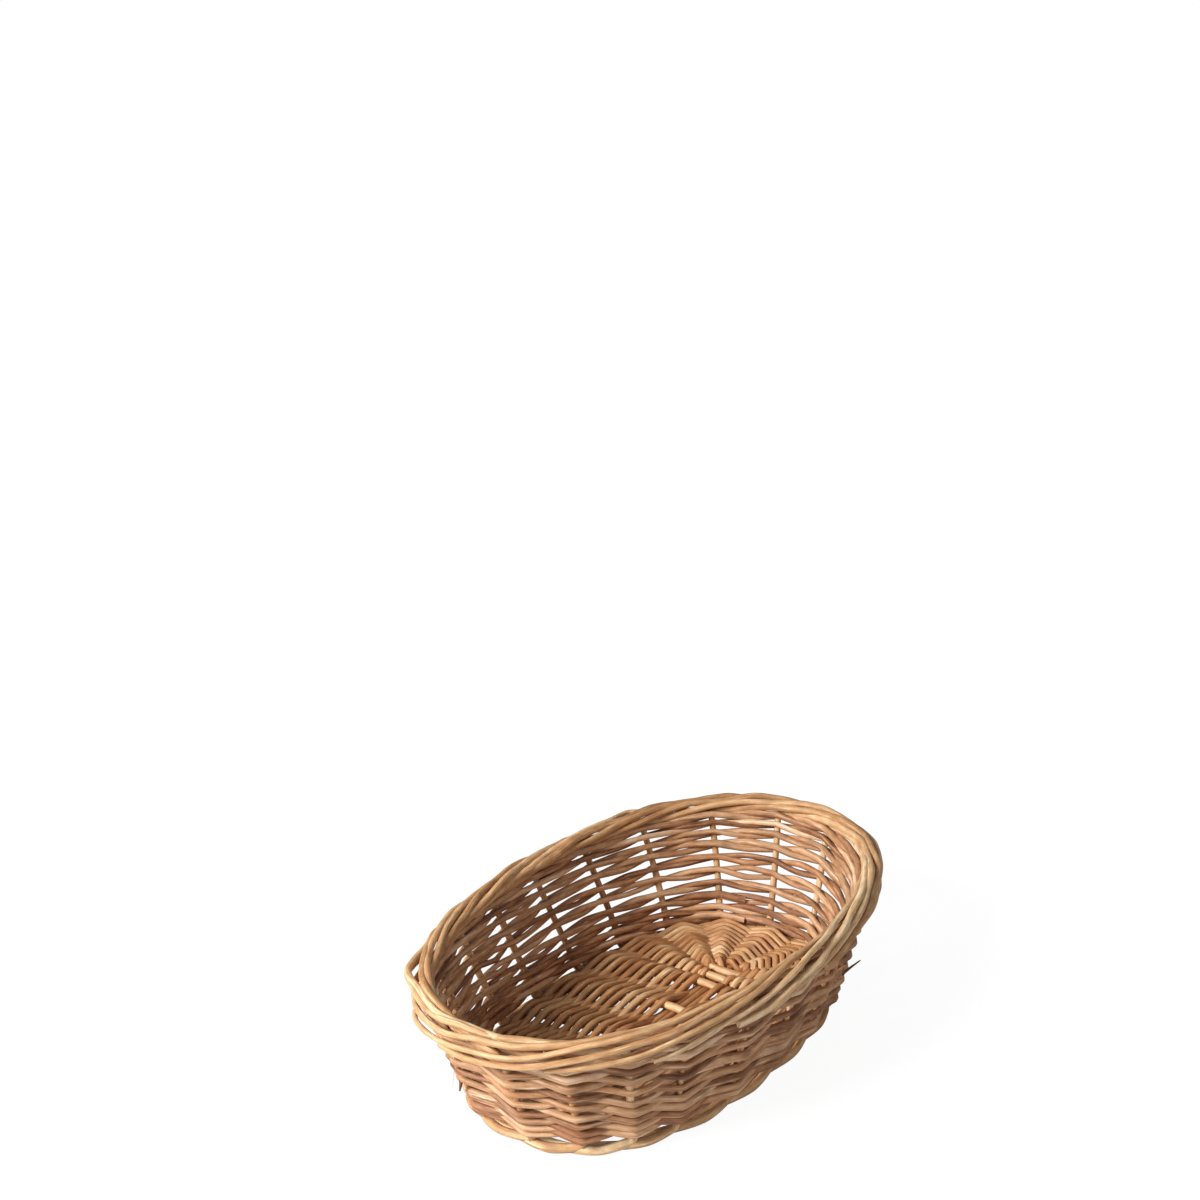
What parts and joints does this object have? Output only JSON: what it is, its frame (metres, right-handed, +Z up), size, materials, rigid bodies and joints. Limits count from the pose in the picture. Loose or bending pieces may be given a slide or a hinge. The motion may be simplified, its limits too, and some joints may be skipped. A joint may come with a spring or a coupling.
{
  "type": "wicker bread basket",
  "caption": "Shallow oval willow bread basket with flared woven sides, a rolled border, a twisted foot and a woven base of crossed sticks.",
  "frame": {"origin": "on the table under the middle of the basket", "axes": "+X along the long axis of the oval, +Y across it, +Z up out of the mouth"},
  "size_m": [0.2998, 0.1798, 0.075],
  "materials": {
    "stake_willow": "buff willow rod, satin",
    "stick_willow": "buff willow stick, satin",
    "weaver_willow": "tan willow rod, satin"
  },
  "bodies": {
    "root": {"stake_01": "stake_willow", "stake_02": "stake_willow", "stake_03": "stake_willow", "stake_04": "stake_willow", "stake_05": "stake_willow", "stake_06": "stake_willow", "stake_07": "stake_willow", "stake_08": "stake_willow", "stake_09": "stake_willow", "stake_10": "stake_willow", "stake_11": "stake_willow", "stake_12": "stake_willow", "stake_13": "stake_willow", "stake_14": "stake_willow", "stake_15": "stake_willow", "stake_16": "stake_willow", "stake_17": "stake_willow", "stake_18": "stake_willow", "stake_19": "stake_willow", "stake_20": "stake_willow", "base_long_stick_1": "stick_willow", "base_long_stick_2": "stick_willow", "base_long_stick_3": "stick_willow", "base_cross_stick_1": "stick_willow", "base_cross_stick_2": "stick_willow", "base_cross_stick_3": "stick_willow", "base_cross_stick_4": "stick_willow", "base_cross_stick_5": "stick_willow", "base_cross_stick_6": "stick_willow", "base_cross_stick_7": "stick_willow", "base_weaver_1a": "weaver_willow", "base_weaver_1b": "weaver_willow", "base_weaver_2a": "weaver_willow", "base_weaver_2b": "weaver_willow", "base_weaver_3a": "weaver_willow", "base_weaver_3b": "weaver_willow", "base_weaver_4a": "weaver_willow", "base_weaver_4b": "weaver_willow", "side_weaver_1a": "weaver_willow", "side_weaver_1b": "weaver_willow", "side_weaver_2a": "weaver_willow", "side_weaver_2b": "weaver_willow", "side_weaver_3a": "weaver_willow", "side_weaver_3b": "weaver_willow", "side_weaver_4a": "weaver_willow", "side_weaver_4b": "weaver_willow"}
  },
  "joints": []
}
